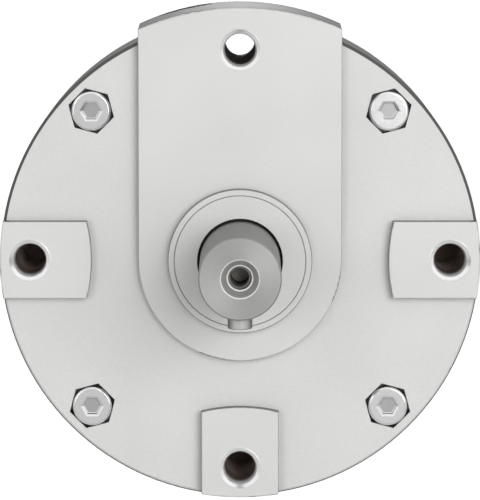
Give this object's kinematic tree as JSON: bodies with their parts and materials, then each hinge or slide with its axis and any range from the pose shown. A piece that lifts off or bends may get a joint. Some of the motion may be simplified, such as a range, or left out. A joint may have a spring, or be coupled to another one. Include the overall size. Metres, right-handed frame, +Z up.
{
  "type": "rotary actuator",
  "caption": "Drum-shaped pneumatic vane rotary actuator with a keyed output shaft, a centring spigot, raised mounting pads with tapped holes, and air ports.",
  "frame": {"origin": "on the output shaft's axis, at the spigot's root in the plane of the mounting pads", "axes": "-Y along the output shaft, pointing out of the front face; +Z up through the port block; +X right"},
  "size_m": [0.12, 0.0958, 0.123],
  "materials": {
    "cast_aluminium": "blasted and clear-sealed casting",
    "machined_aluminium": "milled",
    "ground_steel": "turned and ground",
    "key_steel": "bright drawn",
    "zinc_plated_steel": "zinc plated",
    "dowel_steel": "hardened and ground",
    "spring_steel": "phosphated",
    "sintered_bronze": "sintered, oil filled",
    "thrust_plastic": "turned",
    "nitrile_rubber": "moulded",
    "bumper_rubber": "moulded"
  },
  "bodies": {
    "housing": {"front_housing": "cast_aluminium", "rear_cover": "cast_aluminium", "stator": "machined_aluminium", "cap_screws": "zinc_plated_steel", "hex_nuts": "zinc_plated_steel", "stator_dowels": "dowel_steel", "front_bush": "sintered_bronze", "rear_bush": "sintered_bronze", "front_thrust_washer": "thrust_plastic", "rear_thrust_washer": "thrust_plastic", "stator_seal": "nitrile_rubber", "front_shaft_seal": "nitrile_rubber", "rear_shaft_seal": "nitrile_rubber", "housing_o_ring": "nitrile_rubber", "left_bumper": "bumper_rubber", "right_bumper": "bumper_rubber"},
    "rotor": {"output_shaft": "ground_steel", "shaft_key": "key_steel", "vane": "machined_aluminium", "vane_seal": "nitrile_rubber", "vane_key": "key_steel", "rear_collar": "spring_steel", "rear_circlip": "spring_steel"}
  },
  "joints": [
    {"name": "shaft_swing", "type": "hinge", "parent": "housing", "child": "rotor", "pos_m": [0, 0, 0], "axis": [0, -1, 0], "range_deg": [-135, 135]}
  ]
}
